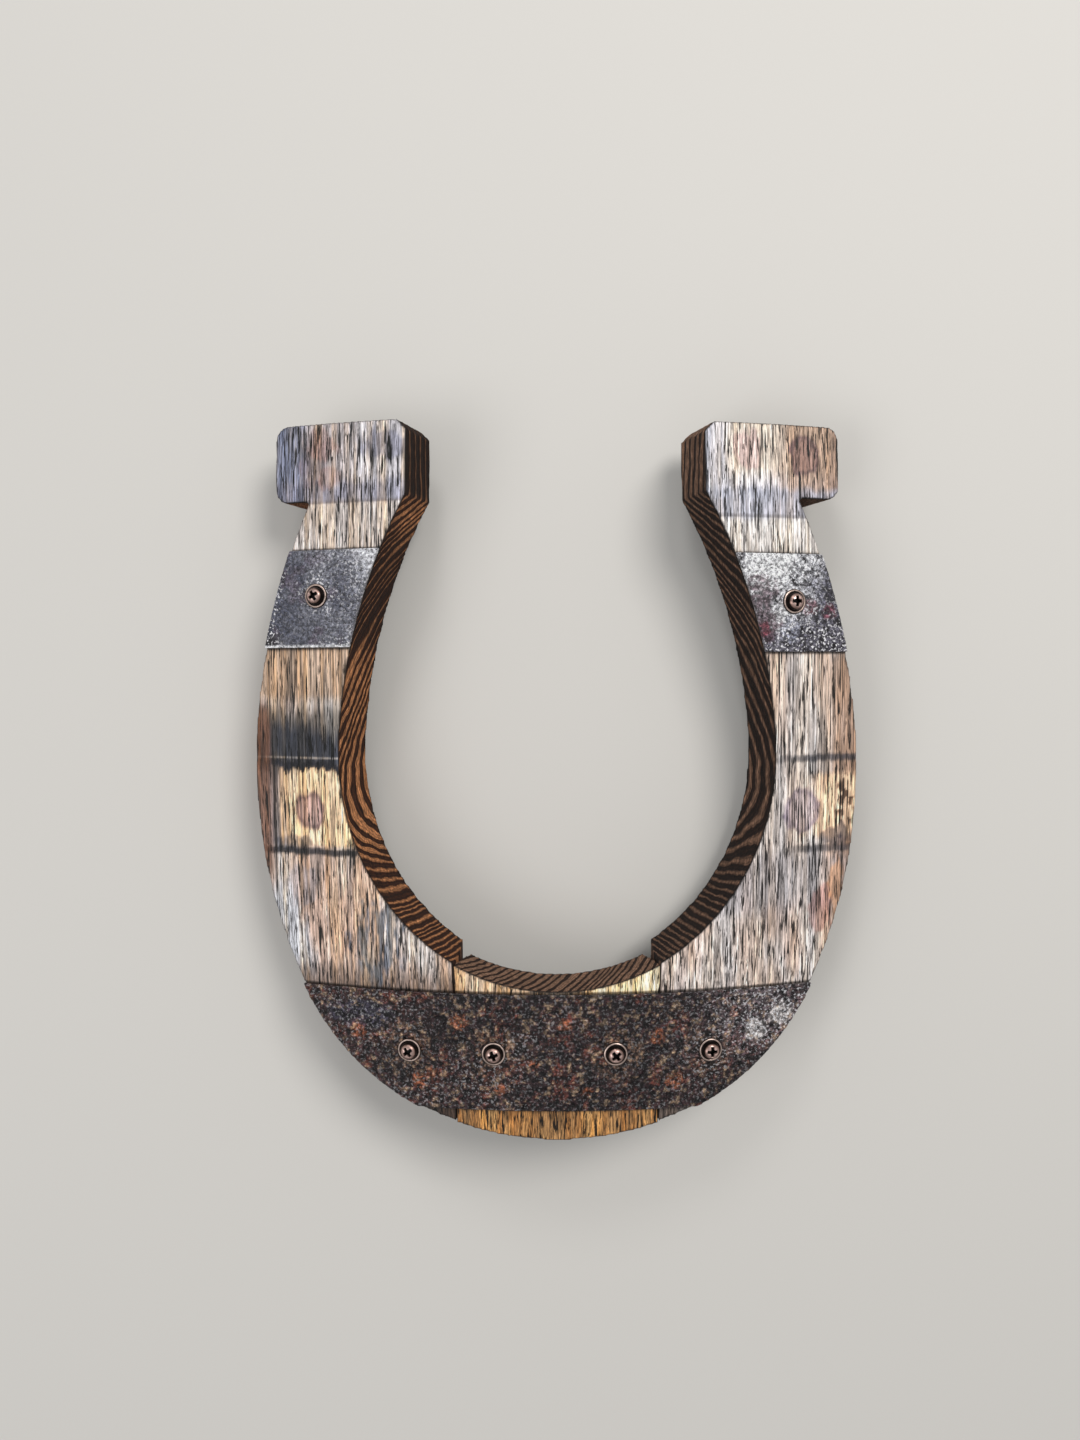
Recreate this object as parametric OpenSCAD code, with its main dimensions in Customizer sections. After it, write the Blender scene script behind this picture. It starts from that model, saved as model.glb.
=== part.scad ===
// Wall horseshoe sawn from three barrel staves, with hoop-steel strips screwed across it.
// +Z points out of the bulging front, +Y towards the open heels, and the origin lies under
// the middle of the object, at the height of the surface that it rests on.

/* [Barrel] */
// Outside radius of the barrel at its widest hoop
barrel_r = 346; // [320:1:380]
// Radius of the long bulge along the staves
bulge_r = 2050; // [1500:10:3000]
// Thickness of a stave
stave_t = 28; // [24:0.5:30]
// Where the widest hoop of the barrel lies along the object
bilge_y = 32; // [-20:1:60]
// Width of the middle stave across its face
centre_w = 88; // [80:1:96]
// Width of the V-shaped gap between two staves on the underside of a joint
gap_w = 2.8; // [0.5:0.1:4]
// How far that gap reaches up into the joint
gap_h = 11; // [4:0.5:16]

/* [Outline] */
// Distance from the middle of the object to the toe
toe_reach = 152.4; // [148:0.1:156]
// Radius of the outer edge across the toe
toe_r = 141; // [130:1:160]
// Distance from the middle of the object to the inside of the toe
mouth_reach = 87; // [84:0.5:92]
// Radius of the inner edge across the toe
mouth_r = 91; // [86:1:98]
// Outer edge of a side stave from the joint upwards: radius of each arc
outer_r = [111, 214, 302]; // [80:1:400]
// Outer edge of a side stave: turn of the first two arcs, in degrees
outer_turn = [48.5, 35.5]; // [30:0.5:60]
// Direction of the outer edge where it crosses the joint, in degrees
outer_start = 16; // [14:0.5:18]
// Inner edge of a side stave from the joint upwards: radius of each arc
inner_r = [100, 251]; // [80:1:400]
// Inner edge of a side stave: turn of the first arc, in degrees
inner_turn = 64; // [62:0.5:66]
// Direction of the inner edge where it crosses the joint, in degrees
inner_start = 30; // [28:0.5:32]

/* [Heels] */
// Underside of the hook that stands out of each heel
hook_y = 119.5; // [116:0.5:123]
// Height at which the inner edge of a heel turns straight
knee_y = 121.5; // [118:0.5:124]
// Rounding of the two outer corners of a heel
heel_r = 6; // [3:0.5:9]
// Size of the cut-off inner corner of a heel
heel_cut = 4; // [2:0.5:6]
// End of the left heel and of the right heel
heel_end = [152.4, 150.4]; // [148:0.1:154]
// Outer side of the left and right heel, from the middle line of their stave
heel_out = [33.7, 35.6]; // [30:0.1:38]
// How far the inner edge of the left and right arm moves towards the middle
inner_shift = [0.8, 0]; // [0:0.1:2]
// How far the outer edge of the left and right arm moves towards the middle
outer_shift = [0.8, 1.8]; // [0:0.1:3]

/* [Hoop steel] */
// Thickness of the steel strips
steel_t = 1.8; // [1.2:0.1:2.5]
// Width of the toe strip
toe_band_w = 50.8; // [44:0.1:54]
// Middle of the toe strip
toe_band_y = -113.3; // [-116:0.1:-112]
// Width of the two arm strips
arm_band_w = 41; // [38:0.1:45]
// Middle of the left and right arm strip
arm_band_y = [78.5, 75.6]; // [70:0.1:86]

/* [Screws] */
// Diameter of the flange under the head
flange_d = 10.4; // [9:0.1:11]
// Thickness of the flange at its edge
flange_t = 0.9; // [0.6:0.1:1.4]
// Diameter of the domed head
head_d = 7.4; // [6:0.1:8]
// Height of the dome above the flange
head_h = 2.6; // [2:0.1:3.2]
// Diameter of the shank, over its thread
shank_d = 4.1; // [3.5:0.1:4.5]
// Length of the screw under its head
shank_l = 21; // [16:1:24]
// Distance of the toe screws from the centre line, left to right
toe_screw_x = [-63.5, -27, 24.9, 65.8]; // [-80:0.1:80]
// Place of the toe screws along the object
toe_screw_y = -113.3; // [-120:0.1:-108]
// Distance of the left and right arm screw from the middle line of their stave
arm_screw_u = [12.8, 12.3]; // [8:0.1:18]
// Place of the left and right arm screw along the object
arm_screw_y = [79.6, 76]; // [70:0.1:86]

/* [Hidden] */

LEFT = 0;
RIGHT = 1;
fine = 64;               // facets asked of a round shape
arc_steps = 10;          // points along each arc of an outline
bulge_steps = 14;        // straight stretches along the bulge of a stave
reach_y = 170;           // half length of every solid before it is trimmed
reach_z = 100;           // half height of every solid before it is trimmed
pilot_d = shank_d + 0.1; // pilot hole in a stave
band_hole_d = 4.8;       // clearance hole in a strip
pilot_l = shank_l + 0.5; // depth of a pilot hole below the flange
recess_w = [1.15, 4.6];  // slot width and span of the cross recess
recess_h = 2.2;          // depth of the cross recess

seam_deg = asin(centre_w / 2 / barrel_r);   // joint, turned about the barrel's axis
tilt_deg = asin(centre_w / barrel_r);       // middle line of a side stave
seam_u = -barrel_r * sin(tilt_deg - seam_deg);
bevel_deg = atan(gap_w / 2 / gap_h);        // share of each stave in the gap underneath
outer_y = rim_y(toe_r, toe_reach);          // outer edge where it crosses a joint
inner_y = rim_y(mouth_r, mouth_reach);      // inner edge where it crosses a joint
// Height of the ridge of the front above the lowest point of the underside
rest_z = max([for (side = [LEFT, RIGHT]) for (p = concat(outer_edge(outer_shift[side]), heel(side, 0)))
  depth_below(p)]);

// Where a round edge that crosses the centre line at -reach meets a joint
function rim_y(r, reach) = r - reach - sqrt(r * r - centre_w * centre_w / 4);

// Depth of the underside below the ridge at a point of a side stave's outline
function depth_below(p) = barrel_r + p[0] * sin(tilt_deg) - cos(tilt_deg)
  * sqrt(pow(barrel_r - stave_t - bulge(p[1] - bilge_y), 2) - p[0] * p[0]);

// How much smaller the barrel's radius is at a distance from its widest hoop
function bulge(d) = bulge_r - sqrt(bulge_r * bulge_r - d * d);

// End of an arc that leaves a point in a direction and turns left
function arc_end(p, dir, r, turn) =
  p + r * [sin(dir + turn) - sin(dir), cos(dir) - cos(dir + turn)];
function arc(p, dir, r, turn, steps = arc_steps) =
  [for (i = [1:steps]) arc_end(p, dir, r, turn * i / steps)];
// Turn at which such an arc reaches a height
function turn_to(p, dir, r, y) = acos(cos(dir) - (y - p[1]) / r) - dir;

// Outer edge of a side stave from the joint up to the hook
function outer_edge(shift = 0) =
  let (p0 = [seam_u, outer_y], d1 = outer_start + outer_turn[0], d2 = d1 + outer_turn[1],
       p1 = arc_end(p0, outer_start, outer_r[0], outer_turn[0]),
       p2 = arc_end(p1, d1, outer_r[1], outer_turn[1]),
       edge = concat([p0], arc(p0, outer_start, outer_r[0], outer_turn[0]),
         arc(p1, d1, outer_r[1], outer_turn[1]),
         arc(p2, d2, outer_r[2], turn_to(p2, d2, outer_r[2], hook_y))))
  [for (p = edge) p - [shift * max(0, min(1, p[1] / hook_y + 0.4)), 0]];

// Inner edge of a side stave from the joint up to the knee
function inner_edge(shift) =
  let (p0 = [seam_u, inner_y], d1 = inner_start + inner_turn,
       p1 = arc_end(p0, inner_start, inner_r[0], inner_turn),
       edge = concat([p0], arc(p0, inner_start, inner_r[0], inner_turn),
         arc(p1, d1, inner_r[1], turn_to(p1, d1, inner_r[1], knee_y))),
       rise = knee_y - inner_y)
  [for (p = edge) p - [shift * min(1, 3 * (p[1] - inner_y) / rise), 0]];

// Heel: rounded hook outside, cut corner inside
function heel(side, knee_u) =
  let (u = heel_out[side], y = heel_end[side], r = heel_r)
  concat([[u - r, hook_y]], arc([u - r, hook_y], 0, r, 90, 6),
    [[u, y - r]], arc([u, y - r], 90, r, 90, 6),
    [[knee_u + heel_cut, y], [knee_u, y - heel_cut]]);

function reversed(list) = [for (i = [len(list) - 1:-1:0]) list[i]];

// Outline of a side stave in its own plane, as if it were the right-hand one
module side_outline(side) {
  inner = inner_edge(inner_shift[side]);
  polygon(concat(outer_edge(outer_shift[side]), heel(side, inner[len(inner) - 1][0]), reversed(inner),
    [[seam_u - 20, inner_y - 10], [seam_u - 20, outer_y - 10]]));
}

// Everything inside the outer edge of a side stave, over to the far side of the object
module inside_outer_edge() {
  far = 200;
  polygon(concat(outer_edge(), [[-far, hook_y], [-far, outer_y - 60], [seam_u, outer_y - 60]]));
}

// Outline of the middle stave
module centre_outline() {
  intersection() {
    difference() {
      translate([0, toe_r - toe_reach]) circle(r = toe_r, $fn = fine);
      translate([0, mouth_r - mouth_reach]) circle(r = mouth_r, $fn = fine);
    }
    translate([-centre_w, -reach_y]) square([2 * centre_w, 120]);
  }
}

// Places its children in the frame of the barrel, with the ridge of the front at z = 0
module on_barrel() translate([0, 0, rest_z]) children();

// Turns its children about the barrel's axis; positive turns go to the right
module around_barrel(deg) translate([0, 0, -barrel_r]) rotate([0, deg, 0])
  translate([0, 0, barrel_r]) children();

// Mirrors its children over to the left side
module on_side(side) {
  if (side == LEFT) mirror([1, 0, 0]) children();
  else children();
}

// Turns its children to the middle line of the left or right stave
module at_stave(side) on_side(side) around_barrel(tilt_deg) children();

module prism() translate([0, 0, -reach_z]) linear_extrude(2 * reach_z) children();

// Layer of the barrel between two depths below its outside
module barrel_layer(top, bottom, y0 = -reach_y, y1 = reach_y) {
  ys = [for (i = [0:bulge_steps]) y0 + (y1 - y0) * i / bulge_steps];
  profile = concat([for (y = ys) [barrel_r - top - bulge(y - bilge_y), y]],
    [for (y = reversed(ys)) [barrel_r - bottom - bulge(y - bilge_y), y]]);
  translate([0, 0, -barrel_r]) rotate([-90, 0, 0]) rotate([0, 0, -130])
    rotate_extrude(angle = 80, $fn = 2 * fine) polygon(profile);
}

// Half space on the right of a joint, tipped about a line at a depth below the front
module beyond_joint(bevel = 0, depth = 0) around_barrel(seam_deg)
  translate([0, 0, -depth]) rotate([0, bevel, 0])
    translate([0, -reach_y, -2 * reach_z]) cube([150, 2 * reach_y, 3 * reach_z]);

// Stands its children on the barrel's face, square to it, at a turn and a place along it
module square_to_face(deg, y) around_barrel(deg) translate([0, y, -bulge(y - bilge_y)])
  rotate([-asin((y - bilge_y) / bulge_r), 0, 0]) children();

module drilled(deg, y, d, depth) square_to_face(deg, y) translate([0, 0, -depth])
  cylinder(h = depth + 8, d = d, $fn = fine);

function toe_screw_deg(i) = asin(toe_screw_x[i] / barrel_r);
function arm_screw_deg(side) = tilt_deg + asin(arm_screw_u[side] / barrel_r);

module side_stave(side, toe_screw) {
  on_barrel() difference() {
    intersection() {
      barrel_layer(0, stave_t);
      at_stave(side) prism() side_outline(side);
      on_side(side) beyond_joint();
      on_side(side) beyond_joint(-bevel_deg, stave_t - gap_h);
    }
    on_side(side) drilled(arm_screw_deg(side), arm_screw_y[side], pilot_d, pilot_l);
    drilled(toe_screw_deg(toe_screw), toe_screw_y, pilot_d, pilot_l);
  }
}

module left_stave() color("#8f7256") side_stave(LEFT, 0);

module right_stave() color("#9c8064") side_stave(RIGHT, 3);

module centre_stave() color("#b07f48") on_barrel() difference() {
  intersection() {
    barrel_layer(0, stave_t);
    prism() centre_outline();
  }
  for (side = [LEFT, RIGHT]) {
    on_side(side) beyond_joint();
    on_side(side) beyond_joint(bevel_deg, stave_t - gap_h);
  }
  for (i = [1, 2]) drilled(toe_screw_deg(i), toe_screw_y, pilot_d, pilot_l);
}

module arm_band(side) {
  y0 = arm_band_y[side] - arm_band_w / 2;
  on_barrel() difference() {
    intersection() {
      barrel_layer(-steel_t, 0);
      at_stave(side) prism() side_outline(side);
      translate([-200, y0, -2 * reach_z]) cube([400, arm_band_w, 3 * reach_z]);
    }
    on_side(side) drilled(arm_screw_deg(side), arm_screw_y[side], band_hole_d, steel_t);
  }
}

module left_band() color("#5d5d66") arm_band(LEFT);

module right_band() color("#84828a") arm_band(RIGHT);

module toe_band() color("#3d2b2b") on_barrel() difference() {
  intersection() {
    barrel_layer(-steel_t, 0);
    at_stave(RIGHT) prism() inside_outer_edge();
    at_stave(LEFT) prism() inside_outer_edge();
    translate([-200, toe_band_y - toe_band_w / 2, -2 * reach_z])
      cube([400, toe_band_w, 3 * reach_z]);
  }
  for (i = [0:3]) drilled(toe_screw_deg(i), toe_screw_y, band_hole_d, steel_t);
}

// Flanged pan-head wood screw with its flange on z = 0
module screw() difference() {
  union() {
    rotate_extrude($fn = fine) polygon(concat(
      [[0, 0], [flange_d / 2, 0], [flange_d / 2, flange_t * 0.6], [head_d / 2, flange_t]],
      [for (a = [0:15:90]) [head_d / 2 * cos(a), flange_t + head_h * sin(a)]]));
    translate([0, 0, -shank_l + 4]) cylinder(h = shank_l - 3.9, d = shank_d, $fn = fine);
    translate([0, 0, -shank_l]) cylinder(h = 4.1, d1 = 0.6, d2 = shank_d, $fn = fine);
  }
  for (turn = [0, 90]) rotate([0, 0, turn])
    translate([-recess_w[1] / 2, -recess_w[0] / 2, flange_t + head_h - recess_h])
      cube([recess_w[1], recess_w[0], recess_h + 1]);
}

// A screw seated on a strip, square to the barrel's face
module seated_screw(deg, y, spin) color("#4a372d") on_barrel() square_to_face(deg, y)
  translate([0, 0, steel_t]) rotate([0, 0, spin]) screw();

module left_band_screw() seated_screw(-arm_screw_deg(LEFT), arm_screw_y[LEFT], 30);

module right_band_screw() seated_screw(arm_screw_deg(RIGHT), arm_screw_y[RIGHT], 0);

module toe_band_screw(i) seated_screw(toe_screw_deg(i), toe_screw_y, [35, 20, 40, 0][i]);

left_stave();
centre_stave();
right_stave();
left_band();
right_band();
toe_band();
left_band_screw();
right_band_screw();
toe_band_screw(0);  // toe_band_screw_1
toe_band_screw(1);  // toe_band_screw_2
toe_band_screw(2);  // toe_band_screw_3
toe_band_screw(3);  // toe_band_screw_4
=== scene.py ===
"""Looks of the barrel-stave horseshoe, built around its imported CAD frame. Metres, row frame."""

import math

import bmesh
import bpy
import numpy as np
from mathutils import Matrix, Vector


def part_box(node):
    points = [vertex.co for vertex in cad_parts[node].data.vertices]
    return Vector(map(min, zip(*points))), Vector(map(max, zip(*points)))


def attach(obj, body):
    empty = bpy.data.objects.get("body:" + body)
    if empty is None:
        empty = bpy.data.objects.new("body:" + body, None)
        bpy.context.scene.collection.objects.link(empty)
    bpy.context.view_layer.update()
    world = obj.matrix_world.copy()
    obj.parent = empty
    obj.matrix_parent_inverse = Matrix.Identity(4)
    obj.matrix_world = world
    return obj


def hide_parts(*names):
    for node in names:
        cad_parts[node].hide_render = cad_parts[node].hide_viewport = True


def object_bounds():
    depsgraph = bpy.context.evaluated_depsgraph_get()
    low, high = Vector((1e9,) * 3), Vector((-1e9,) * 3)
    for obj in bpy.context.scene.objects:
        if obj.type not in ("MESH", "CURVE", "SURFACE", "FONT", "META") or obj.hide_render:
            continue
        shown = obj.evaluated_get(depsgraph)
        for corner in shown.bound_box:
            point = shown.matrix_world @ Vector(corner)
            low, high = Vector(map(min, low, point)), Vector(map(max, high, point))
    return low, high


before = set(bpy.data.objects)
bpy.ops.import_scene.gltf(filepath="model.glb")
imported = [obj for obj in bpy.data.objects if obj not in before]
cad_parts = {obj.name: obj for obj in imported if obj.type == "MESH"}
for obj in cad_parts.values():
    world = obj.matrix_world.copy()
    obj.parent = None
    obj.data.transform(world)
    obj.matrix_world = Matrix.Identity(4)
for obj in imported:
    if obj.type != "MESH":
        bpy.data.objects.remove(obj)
CAD_LOW, CAD_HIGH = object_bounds()

# ---------------------------------------------------------------- sizes and places

BARREL_R = 0.346                # outside radius of the barrel at its widest hoop
BULGE_R = 2.05                  # radius of the bulge along the staves
BILGE_Y = 0.032                 # where the widest hoop lies along the object
STAVE_T = 0.028                 # thickness of the staves
STRIP_T = 0.0018                # thickness of the hoop-steel strips
SEAM_X = 0.044                  # half the width of the middle stave
TILT = math.asin(2 * SEAM_X / BARREL_R)     # lean of the side staves
TOE_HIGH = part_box("toe_band")[1]
# Height of the barrel's ridge: the toe strip's top, less the strip, plus the drop of the bulge
RIDGE_Z = TOE_HIGH.z - STRIP_T + (TOE_HIGH.y - BILGE_Y) ** 2 / (2 * BULGE_R)

GRAIN_DEPTH = 0.00022           # pores in the faces, early wood in the cuts
CRACKLE_DEPTH = 0.0004          # cracks of the charred back
SWELL_DEPTH, GRIT_DEPTH, PIT_DEPTH = 0.00025, 0.00055, 0.00045     # rust of strength 1
TOE_RUST, ARM_RUST = 1.5, 0.35  # strength of the rust on the toe strip and the arm strips
STAVE_VOXELS = (0.00075, 0.00085)
TOE_STRIP_VOXELS = (0.00042, 0.0006)
ARM_STRIP_VOXELS = (0.0004, 0.0005)


def linear(code):
    """Linear red, green and blue of a colour written as a web colour."""
    values = [int(code[i:i + 2], 16) / 255 for i in (1, 3, 5)]
    return np.array([v / 12.92 if v <= 0.04045 else ((v + 0.055) / 1.055) ** 2.4 for v in values])


# ---------------------------------------------------------------- noise for shapes and paint


def lattice(ix, iy, iz, seed):
    """A steady pseudo-random number from 0 to 1 for each lattice point."""
    h = (ix * 374761393 + iy * 668265263 + iz * 2147483647 + seed * 974711) & 0xFFFFFFFF
    h = ((h ^ (h >> 13)) * 1274126177) & 0xFFFFFFFF
    h = ((h ^ (h >> 16)) * 2246822519) & 0xFFFFFFFF
    return ((h ^ (h >> 15)) & 0xFFFFFF) / float(0x1000000)


def noise(points, size, seed):
    """Smooth noise from 0 to 1; size is its grain, one number or one each for X, Y and Z."""
    p = points / np.array(size)
    base = np.floor(p).astype(np.int64)
    f = p - base
    f = f * f * (3 - 2 * f)
    total = np.zeros(len(p))
    for dx in (0, 1):
        for dy in (0, 1):
            for dz in (0, 1):
                w = (np.where(dx, f[:, 0], 1 - f[:, 0]) * np.where(dy, f[:, 1], 1 - f[:, 1])
                     * np.where(dz, f[:, 2], 1 - f[:, 2]))
                total += w * lattice(base[:, 0] + dx, base[:, 1] + dy, base[:, 2] + dz, seed)
    return total


def layered(points, size, seed, layers=3):
    """Noise with finer layers added, from 0 to 1."""
    total, weight, scale = np.zeros(len(points)), 0.0, 1.0
    for i in range(layers):
        total += scale * noise(points, np.array(size) * scale, seed + 17 * i)
        weight += scale
        scale *= 0.5
    return total / weight


def step(low, high, value):
    """0 below low, 1 above high, smooth between; low may be the higher one."""
    t = np.clip((value - low) / (high - low), 0, 1)
    return t * t * (3 - 2 * t)


def between(value, low, high, soft):
    """1 from low to high, 0 outside, with soft ends."""
    return step(low - soft, low + soft, value) * (1 - step(high - soft, high + soft, value))


# ---------------------------------------------------------------- meshes from the frame


def link(obj):
    """Puts an object into the scene and returns it."""
    bpy.context.scene.collection.objects.link(obj)
    return obj


def remeshed(node, name, voxels):
    """A dense copy of a CAD node with slightly eased edges."""
    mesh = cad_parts[node].data.copy()
    mesh.materials.clear()
    bm = bmesh.new()
    bm.from_mesh(mesh)
    bmesh.ops.remove_doubles(bm, verts=bm.verts, dist=1e-6)
    bm.to_mesh(mesh)
    bm.free()
    source = link(bpy.data.objects.new(name + "_source", mesh))
    modifier = source.modifiers.new("dense", "REMESH")
    modifier.mode = "VOXEL"
    modifier.voxel_size = voxels[0]
    modifier.use_smooth_shade = True
    bpy.context.view_layer.update()
    evaluated = source.evaluated_get(bpy.context.evaluated_depsgraph_get())
    dense = bpy.data.meshes.new_from_object(evaluated)
    bpy.data.objects.remove(source)
    dense.name = name
    for attribute in [a for a in dense.attributes if not a.is_required and not a.is_internal]:
        dense.attributes.remove(attribute)
    return link(bpy.data.objects.new(name, dense))


def points_of(mesh):
    """Places of a mesh's vertices, one row each."""
    co = np.zeros(len(mesh.vertices) * 3)
    mesh.vertices.foreach_get("co", co)
    return co.reshape(-1, 3)


def normals_of(mesh):
    """Outward unit vectors at a mesh's vertices, one row each."""
    no = np.zeros(len(mesh.vertices) * 3, np.float32)
    mesh.vertex_normals.foreach_get("vector", no)
    return no.reshape(-1, 3).astype(float)


def put_points(mesh, co):
    """Moves a mesh's vertices to new places."""
    mesh.vertices.foreach_set("co", co.ravel())
    mesh.update()


def shade_smooth(mesh):
    """Lets light flow over the edges between a mesh's faces."""
    mesh.polygons.foreach_set("use_smooth", np.ones(len(mesh.polygons), bool))


def store(mesh, name, values):
    """Keeps one number or one colour for each vertex, for the material to read."""
    if values.ndim == 1:
        attribute = mesh.attributes.new(name, "FLOAT", "POINT")
        attribute.data.foreach_set("value", values.astype(np.float32))
    else:
        attribute = mesh.attributes.new(name, "FLOAT_COLOR", "POINT")
        rgba = np.hstack([values, np.ones((len(values), 1))])
        attribute.data.foreach_set("color", rgba.astype(np.float32).ravel())


def outward(co):
    """Unit vectors square to the barrel's face."""
    v = np.stack([co[:, 0], (co[:, 1] - BILGE_Y) / BULGE_R * BARREL_R,
                  co[:, 2] - RIDGE_Z + BARREL_R], 1)
    return v / np.linalg.norm(v, axis=1, keepdims=True)


def depth(co):
    """Depth below the barrel's face, in metres."""
    from_axis = np.hypot(co[:, 0], co[:, 2] - RIDGE_Z + BARREL_R)
    return BARREL_R - (co[:, 1] - BILGE_Y) ** 2 / (2 * BULGE_R) - from_axis


# ---------------------------------------------------------------- paint of the staves


def lay(colour, over, amount):
    """Lays a web colour, or a colour per point, over another by an amount from 0 to 1."""
    if isinstance(over, str):
        over = linear(over)
    return colour * (1 - amount[:, None]) + over * amount[:, None]


def plain(code, count):
    """One web colour for a number of points."""
    return np.tile(linear(code), (count, 1))


def spot(co, x, y, rx, ry, seed, rough):
    """1 inside an irregular round mark, 0 outside."""
    d = np.hypot((co[:, 0] - x) / rx, (co[:, 1] - y) / ry)
    d = d + rough * (layered(co, (0.003, 0.005, 0.003), seed) - 0.5)
    return 1 - step(0.75, 1.1, d)


def rivet_stain(colour, co, x, y, seed, middle, rim, amount, size):
    """The round mark that a hoop rivet leaves, with a darker rim."""
    inside = spot(co, x, y, 0.0062 * size, 0.0078 * size, seed, 0.6 * size)
    ring = np.clip(inside - spot(co, x, y, 0.0048 * size, 0.0064 * size, seed, 0.6 * size), 0, 1)
    colour = lay(colour, middle, amount * inside)
    return lay(colour, rim, 0.75 * ring)


def painted_strip_shadows(co, colour, *strips):
    """Painted shadow: a dark line on the wood along the upper and lower edge of each hoop-steel strip.
    """
    for node in strips:
        low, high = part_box(node)
        away = np.minimum(np.abs(co[:, 1] - low.y), np.abs(co[:, 1] - high.y))
        colour = lay(colour, "#140d0b", 0.85 * (1 - step(0.0004, 0.0013, away)))
    return colour


def wavy(co, seed, size=(0.0015, 0.012, 0.0015)):
    """How far a stain's edge has crept along the grain here, from -1 to 1."""
    return 2 * layered(co, size, seed) - 1


def in_heel(y):
    """1 in the hooked heels, 0 below them."""
    return step(0.117, 0.120, y)


def dark_tips(co, colour):
    """Darkens the tips of the side staves that show below the toe strip."""
    return lay(colour, "#2a1d18", 0.85 * (1 - step(-0.1365, -0.1355, co[:, 1])))


def left_face(co):
    """Colours of the left stave's weathered front."""
    x, y = co[:, 0], co[:, 1]
    soft = layered(co, (0.010, 0.05, 0.010), 3)
    colour = lay(plain("#c8b0a4", len(co)), "#d8cfcb", step(0.35, 0.7, soft))
    colour = left_heel(co, colour)
    colour = lay(colour, "#d4c9c4", between(y, 0.096, 0.1185, 0.0010))
    colour = lay(colour, "#4c4145", 0.5 * between(y, 0.1186, 0.1196, 0.0004))
    colour = left_charcoal(co, colour)
    colour = left_low(co, colour)
    edge = step(-0.1225, -0.1255, x) * between(y, -0.040, 0.034, 0.004)
    colour = lay(colour, "#704b36", 0.8 * edge)
    groove = between(x + 0.0004 * wavy(co, 27), -0.1228, -0.1216, 0.0003)
    colour = lay(colour, "#17100f", 0.9 * groove * between(y, -0.048, 0.012, 0.003))
    return dark_tips(co, painted_strip_shadows(co, colour, "left_band", "toe_band"))


def left_heel(co, colour):
    """Blue outer side, reddish stain and blue-grey smears of the left heel."""
    x, y = co[:, 0], co[:, 1]
    heel = in_heel(y)
    colour = lay(colour, "#b4abac", heel)
    colour = lay(colour, "#c3c0c6", 0.8 * heel * step(-0.089, -0.080, x))
    blue = heel * step(-0.1025, -0.1085, x + 0.004 * wavy(co, 5, (0.003, 0.008, 0.003)))
    colour = lay(colour, "#6d7896", 0.88 * blue)
    damp = between(y + 0.0040 * wavy(co, 6, 0.004), 0.1180, 0.1275, 0.0025)
    damp = np.maximum(damp, heel * spot(co, -0.0700, 0.1420, 0.0150, 0.0065, 8, 1.4))
    colour = lay(colour, "#7f8094", 0.7 * damp)
    colour = lay(colour, "#665058", 0.40 * spot(co, -0.1015, 0.1370, 0.0070, 0.0125, 7, 1.6))
    colour = lay(colour, "#9c7064", 0.42 * spot(co, -0.0980, 0.1435, 0.0068, 0.0070, 10, 1.5))
    return lay(colour, "#9a6f60", 0.35 * spot(co, -0.0955, 0.1290, 0.0060, 0.0060, 9, 1.4))


def left_charcoal(co, colour):
    """Scorched belt of the left arm and the golden patch that a hoop once covered."""
    x, y = co[:, 0], co[:, 1]
    colour = lay(colour, "#b39a86", 0.95 * between(y, 0.036, 0.060, 0.003))
    smoke = between(y + 0.0080 * wavy(co, 11, (0.0016, 0.018, 0.0016)), 0.0060, 0.0330, 0.0055)
    colour = lay(colour, "#55524f", 0.85 * smoke)
    reach = y + 0.0050 * wavy(co, 14) + 0.0085 * step(-0.112, -0.088, x)
    colour = lay(colour, "#2e3340", 0.92 * between(reach, 0.0080, 0.0265, 0.0045))
    gold = between(y, -0.0270, 0.0070, 0.0012) * step(-0.1215, -0.1190, x)
    colour = lay(colour, "#ffdab3", gold)
    pale = step(0.5, 0.7, layered(co, (0.002, 0.02, 0.002), 12))
    colour = lay(colour, "#ffe9cf", 0.55 * gold * pale)
    scorch = between(y + 0.0042 * wavy(co, 13, (0.0011, 0.006, 0.0011)), 0.0052, 0.0100, 0.0008)
    colour = lay(colour, "#1c1c24", scorch)
    colour = lay(colour, "#b0a8a4", 0.6 * between(y, 0.0104, 0.0112, 0.0003))
    outer = between(y, -0.0290, 0.0080, 0.003) * step(-0.1130, -0.1195, x + 0.004 * wavy(co, 16))
    colour = lay(colour, "#474856", 0.60 * outer)
    colour = rivet_stain(colour, co, -0.1055, -0.0118, 17, "#a07f86", "#472a36", 0.75, 1.1)
    smudge = spot(co, -0.1120, -0.0265, 0.0100, 0.0042, 18, 1.2)
    colour = lay(colour, "#454a58", 0.65 * smudge)
    line = between(y + 0.0012 * wavy(co, 19), -0.0310, -0.0280, 0.0006)
    return lay(colour, "#24262f", 0.92 * line)


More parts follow.
